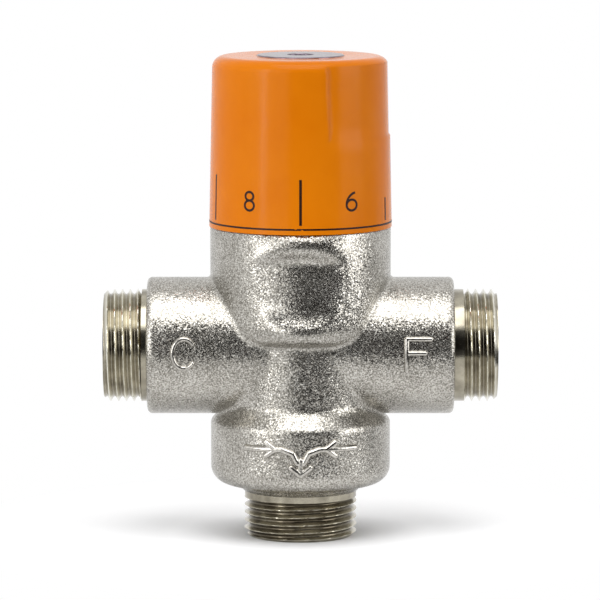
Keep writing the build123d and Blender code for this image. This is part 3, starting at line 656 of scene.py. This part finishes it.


# Springs
# Cylindrical coil springs of stainless wire: one in the setting nut, one under the shuttle and
# one in each check valve. One end stands still and the other follows the piece that it presses;
# here each is copied as one smooth skin and left as it is modelled.
spring_ends = {
    "overtravel_spring": ("setting", "overtravel", (0, 0, 1)),
    "return_spring": ("valve", "shuttle", (0, 0, -1)),
    "hot_check_spring": ("valve", "hot_check", (1, 0, 0)),
    "cold_check_spring": ("valve", "cold_check", (-1, 0, 0)),
}
for node, (carrier, follower, to_foot) in spring_ends.items():
    low, high = (np.array(corner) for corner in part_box(node))
    to_foot = np.array(to_foot) * (high - low) / 2
    spring = welded_copy(node, f"{node}_wire", inner_finishes["spring_steel"])
    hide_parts(node)
    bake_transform(spring)


# Setting knob
# A moulded cap of orange plastic with a slight draft, a rounded top edge and a shallow grip panel
# on its right side. It is pushed on the spindle's spline and held by the screw in its top.
def orange_plastic():
    """Satin orange plastic: very slight waviness, and a fine grain that softens highlights."""
    finish = Finish("orange_plastic")
    clouds = finish.noise(12.0 * mm, 2.0)
    grain = finish.noise(0.12 * mm, 2.0)
    waves = finish.noise(6.0 * mm, 1.0)
    deep, pale = (0.68, 0.173, 0.002), (0.712, 0.191, 0.003)
    soft = finish.bump(waves, 0.02 * mm)
    return finish.set(
        Base_Color=finish.ramp(clouds, (0.35, deep), (0.65, pale)),
        Roughness=finish.spread(clouds, 0.16, 0.20),
        Normal=finish.bump(grain, 0.005 * mm, after=soft),
        Specular_IOR_Level=0.10,
    ).material


knob = welded_copy("knob_cap", "setting_knob", orange_plastic())
join_body(knob, "knob", "orange_plastic", "knob_cap")


# Scale on the knob
# Printed on the cap in thin dark ink: a line round the foot, and along three quarters of a turn
# four graduation strokes with the even numbers 10 to 2 between and beside them.
def scale_ink():
    """Dark brown printing ink, slightly glossier than the plastic and thin in places."""
    finish = Finish("scale_ink")
    clouds = finish.noise(1.2 * mm, 2.0)
    full, thin = (0.016, 0.005, 0.002), (0.026, 0.009, 0.004)
    return finish.set(
        Base_Color=finish.ramp(clouds, (0.35, full), (0.65, thin)),
        Roughness=finish.spread(clouds, 0.40, 0.50),
        Specular_IOR_Level=0.2,
    ).material


knob_low, knob_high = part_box("knob_cap")
knob_foot_radius = knob_high.x
knob_draft = radians(1.1)
ink_thickness = 0.025 * mm
ink_depth = 0.3 * mm
print_finish = scale_ink()


def on_knob(across, up, lift):
    """Wraps a flat pattern round the knob's drafted side; up is the height over its foot."""
    angle = across / knob_foot_radius
    radius = knob_foot_radius - up * tan(knob_draft) + lift
    height = knob_low.z + up + 0 * angle
    return np.stack([radius * np.sin(angle), -radius * np.cos(angle), height], -1)


def ink_line(chain, width, closed):
    """Corner points of a flat ink line: four edges (under left, over left, over right, under
    right) carried along a chain, offset to each side by half a width along its normal."""
    chain = np.array(chain)
    if closed:
        ahead = np.roll(chain, -1, 0) - np.roll(chain, 1, 0)
    else:
        ahead = np.gradient(chain, axis=0)
    ahead /= np.linalg.norm(ahead, axis=1)[:, None]
    normal = np.stack([-ahead[:, 1], ahead[:, 0]], -1) * width / 2
    left, right = chain + normal, chain - normal
    over, under = ink_thickness, -ink_depth
    edges = [(left, under), (left, over), (right, over), (right, under)]
    return np.stack([on_knob(side[:, 0], side[:, 1], lift) for side, lift in edges], 1)


def ink_piece(name, lines):
    """One printed figure from several ink lines, each (chain, width, closed)."""
    points = []
    faces = []
    total = 0
    for chain, width, closed in lines:
        line = ink_line(chain, width, closed)
        rows = len(line)
        quads = closed_quads(rows, 4)
        if not closed:
            caps = np.array([[3, 2, 1, 0], np.arange(4) + (rows - 1) * 4])
            quads = np.concatenate([quads[:-4], caps])
        faces.append(quads + total)
        points.append(line.reshape(-1, 3))
        total += rows * 4
    piece = new_piece(name, np.concatenate(points), np.concatenate(faces), print_finish, 30)
    return join_body(piece, "knob", "orange_plastic")


def straight(start, stop):
    """Chain of evenly spaced points from one point to another."""
    return list(zip(np.linspace(start[0], stop[0], 12), np.linspace(start[1], stop[1], 12)))


foot_line_height = 1.25 * mm
foot_line_width = 0.42 * mm
foot_line_places = np.linspace(0, 2 * pi * knob_foot_radius, 181)[:-1]
foot_line = [(place, foot_line_height) for place in foot_line_places]
ink_piece("scale_foot_line", [(foot_line, foot_line_width, True)])

scale_step = radians(67.5) * knob_foot_radius
tick_width = 0.62 * mm
tick_foot = 2.2 * mm
# Top of each stroke, by its place in steps of the scale from the front.
tick_tops = {-1: 12.7 * mm, 0: 12.7 * mm, 1: 7.4 * mm, 2: 12.7 * mm}
for step, tick_top in tick_tops.items():
    place = step * scale_step
    stroke = straight((place, tick_foot), (place, tick_top))
    ink_piece(f"scale_stroke_{step + 2}", [(stroke, tick_width, False)])

digit_height = 4.25 * mm
digit_width = 2.95 * mm
digit_line = 0.55 * mm
digit_foot = 5.35 * mm
digit_spacing = 1.35 * digit_width
# Chains of each digit, each with whether it closes, in a box 1 wide and 1.6 high. A closed
# chain ends where it starts.
box_height = 1.6
zero_arc = arc((0.0, 0.0), 1.0, 0, 360, 41)
digit_chains = {
    "8": [
        (arc((0.5, 0.43), 0.43, 90, 450, 33), True),
        (arc((0.5, 1.23), 0.37, 90, 450, 33), True),
    ],
    "6": [
        (arc((0.5, 0.47), 0.47, 90, 450, 37), True),
        (arc((1.08, 0.53), 1.05, 180, 104, 20), False),
    ],
    "4": [
        (straight((0.72, 0.0), (0.72, box_height)), False),
        (straight((0.72, box_height), (0.0, 0.5)), False),
        (straight((0.0, 0.5), (1.0, 0.5)), False),
    ],
    "2": [
        (arc((0.5, 1.13), 0.45, 170, -25, 20) + [(0.75, 0.72), (0.0, 0.02)], False),
        (straight((0.0, 0.0), (1.0, 0.0)), False),
    ],
    "1": [
        (straight((0.6, 0.0), (0.6, box_height)), False),
        (straight((0.6, box_height), (0.25, 1.25)), False),
    ],
    "0": [([(0.5 + 0.45 * x, 0.8 + 0.8 * y) for x, y in zero_arc], True)],
}


def number_lines(text, place):
    """Ink lines of a number whose middle is at a place round the knob."""
    scale = digit_height / box_height
    start = place - digit_spacing * (len(text) - 1) / 2 - digit_width / 2
    lines = []
    for index, digit in enumerate(text):
        left = start + index * digit_spacing
        for chain, closed in digit_chains[digit]:
            chain = chain[:-1] if closed else chain
            placed = [(left + x * digit_width, digit_foot + y * scale) for x, y in chain]
            lines.append((placed, digit_line, closed))
    return lines


number_steps = {"10": -1.5, "8": -0.5, "6": 0.5, "4": 1.5, "2": 2.5}
for text, step in number_steps.items():
    ink_piece(f"scale_number_{text}", number_lines(text, step * scale_step))


# Cover disc and screw
# A thin anodised aluminium disc let into the top of the knob, brushed and faintly violet, and
# the stainless cross-head screw that holds the knob on its spindle.
def anodised_disc():
    """Brushed aluminium with a faint violet dye."""
    finish = Finish("anodised_disc")
    along_brush = {"Vector": finish.place(), "Scale": (0.04, 1.0, 1.0)}
    stretched = finish.node("ShaderNodeMapping", None, along_brush)
    lines = finish.noise(0.18 * mm, 2.0, where=stretched)
    clouds = finish.noise(3.0 * mm, 2.0)
    dark, light = (0.15, 0.12, 0.145), (0.24, 0.195, 0.23)
    return finish.set(
        Base_Color=finish.ramp(clouds, (0.35, dark), (0.65, light)),
        Metallic=1.0,
        Roughness=finish.spread(lines, 0.16, 0.26),
        Normal=finish.bump(lines, 0.01 * mm),
    ).material


disc = welded_copy("cover_disc", "disc_plate", anodised_disc())
join_body(disc, "knob", "disc_metal", "cover_disc")


# Studio
# A pale floor that runs into a white background, three soft boxes and a narrow strip light, and
# two dark cloths in front and on the right, which give the plating its dark reflections.
white = (1.0, 1.0, 1.0)


def seen_plainly(nodes):
    """1 for the rays that show the background: straight, mirrored or through glass."""
    straight_on = nodes.node("ShaderNodeLightPath", output="Is Camera Ray")
    mirrored = nodes.node("ShaderNodeLightPath", output="Is Glossy Ray")
    through = nodes.node("ShaderNodeLightPath", output="Is Transmission Ray")
    return through.math("MAXIMUM", straight_on + mirrored, through)


def whitened(finish, share):
    """The finish with a plain white glow in its place for a share of the rays."""
    glow = finish.node("ShaderNodeEmission", None, {"Color": white, "Strength": 1.0})
    own = Number(finish, finish.shader.outputs["BSDF"])
    mixed = finish.node("ShaderNodeMixShader", None, {0: share, 1: own, 2: glow})
    finish.feed(finish.tree.nodes["Material Output"].inputs["Surface"], mixed)
    return finish.material


contact_shade = (12 * mm, 30 * mm)
contact_glow, open_glow = (0.02, 0.02, 0.02), (0.31, 0.31, 0.31)
shadow_fade = (36 * mm, 85 * mm)


def studio_floor():
    """Pale matt floor that keeps the shadow near the valve and is plain white further out.
    Its own faint glow lightens that shadow, but not close under the valve's end."""
    finish = Finish("studio_floor")
    distance = finish.vector("LENGTH", finish.place(), output="Value")
    out = finish.between(distance, *contact_shade)
    finish.set(
        Base_Color=(0.86, 0.86, 0.87),
        Roughness=0.9,
        Specular_IOR_Level=0.1,
        Emission_Color=finish.ramp(out, (0.0, contact_glow), (1.0, open_glow)),
        Emission_Strength=1.0,
    )
    fade = {"Value": distance, "From Min": shadow_fade[0], "From Max": shadow_fade[1]}
    far = finish.node("ShaderNodeMapRange", {"interpolation_type": "SMOOTHSTEP"}, fade)
    return whitened(finish, far * seen_plainly(finish))


def dark_cloth():
    """Dark cloth, which a camera that looks past the valve sees as the white background."""
    finish = Finish("dark_cloth")
    finish.set(Base_Color=(0.03, 0.03, 0.03), Roughness=0.9, Specular_IOR_Level=0.1)
    return whitened(finish, finish.node("ShaderNodeLightPath", output="Is Camera Ray"))


def stage_sheet(name, corners, faces, material):
    """Part of the studio that isn't part of the valve."""
    mesh = bpy.data.meshes.new(name)
    mesh.from_pydata(corners.reshape(-1, 3).tolist(), [], faces.tolist())
    mesh.materials.append(material)
    sheet = bpy.data.objects.new(name, mesh)
    bpy.context.scene.collection.objects.link(sheet)
    sheet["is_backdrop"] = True


def hung_cloth(name, left, right, profile):
    """Cloth between two azimuths in degrees, along a profile of (radius, height) points."""
    angle = np.radians(np.linspace(left, right, 25))
    radius, height = np.array(profile).T[:, :, None]
    corners = [radius * np.sin(angle), -radius * np.cos(angle), height + 0 * angle]
    stage_sheet(name, np.stack(corners, -1), open_quads(len(profile), len(angle)), cloth)


floor_reach = 0.9
floor_turn = np.linspace(0, 2 * pi, 72, endpoint=False)
floor_rim = floor_reach * np.stack([np.cos(floor_turn), np.sin(floor_turn), 0 * floor_turn], -1)
stage_sheet("floor", floor_rim, np.arange(len(floor_turn))[None, :], studio_floor())

cloth = dark_cloth()
cloth_lift = 1.0 * mm
cloth_inner, flag_distance, flag_top = 0.15, 1.75, 1.5
flag_profile = [(cloth_inner, cloth_lift), (flag_distance, cloth_lift), (flag_distance, flag_top)]
hung_cloth("front_flag", -15, 50, flag_profile)
hung_cloth("right_cloth", 50, 112, [(cloth_inner, cloth_lift), (floor_reach, cloth_lift)])


def white_world():
    """Even white light all round: full strength where it shows, less where it lights."""
    world = bpy.data.worlds.new("studio_world")
    nodes = Nodes(world)
    shown = {"Value": seen_plainly(nodes), "To Min": 0.4, "To Max": 1.0}
    background = nodes.tree.nodes["Background"]
    nodes.feed(background.inputs["Color"], white)
    nodes.feed(background.inputs["Strength"], nodes.node("ShaderNodeMapRange", None, shown))
    return world


bpy.context.scene.world = white_world()
lamp_centre_height = 0.055


def soft_box(name, azimuth, rise, distance, width, height, glow):
    """Rectangular area light that faces the valve from a side and height given in degrees.

    Azimuth is counted from the front towards the cold side; the glow is its radiance, so its
    power is glow * pi * width * height.
    """
    lamp = bpy.data.lights.new(name, "AREA")
    lamp.shape = "RECTANGLE"
    lamp.size = width
    lamp.size_y = height
    lamp.energy = glow * pi * width * height
    light = bpy.data.objects.new(name, lamp)
    turn, lift = radians(azimuth), radians(rise)
    light.location = (
        distance * sin(turn) * cos(lift),
        -distance * cos(turn) * cos(lift),
        distance * sin(lift) + lamp_centre_height,
    )
    light.rotation_euler = (pi / 2 - lift, 0.0, turn)
    bpy.context.scene.collection.objects.link(light)


soft_box("left_box", azimuth=-43, rise=16, distance=1.6, width=1.6, height=1.0, glow=0.95)
soft_box("left_strip", azimuth=-48, rise=10, distance=1.58, width=0.2, height=1.5, glow=6.4)
soft_box("right_box", azimuth=69, rise=16, distance=1.6, width=0.95, height=1.0, glow=2.9)
soft_box("top_box", azimuth=0, rise=69, distance=1.6, width=1.3, height=1.3, glow=3.2)

camera_distance = 1.10
camera_rise = radians(7.1)
camera_side = -0.12 * mm
target_height = inlet_height + 10.58 * mm
picture_pixels = 600
pixels_per_metre = 4283.0
sensor = 36.0
camera_data = bpy.data.cameras.new("camera")
camera_data.sensor_width = sensor
camera_data.lens = sensor * pixels_per_metre * camera_distance / picture_pixels
camera_data.clip_start = 0.05
camera_data.clip_end = 50.0
camera = bpy.data.objects.new("camera", camera_data)
camera.location = (
    camera_side,
    -camera_distance * cos(camera_rise),
    target_height + camera_distance * sin(camera_rise),
)
camera.rotation_euler = (pi / 2 - camera_rise, 0.0, 0.0)
bpy.context.scene.collection.objects.link(camera)
bpy.context.scene.camera = camera
bpy.context.scene.view_settings.view_transform = "Standard"

low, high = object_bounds()
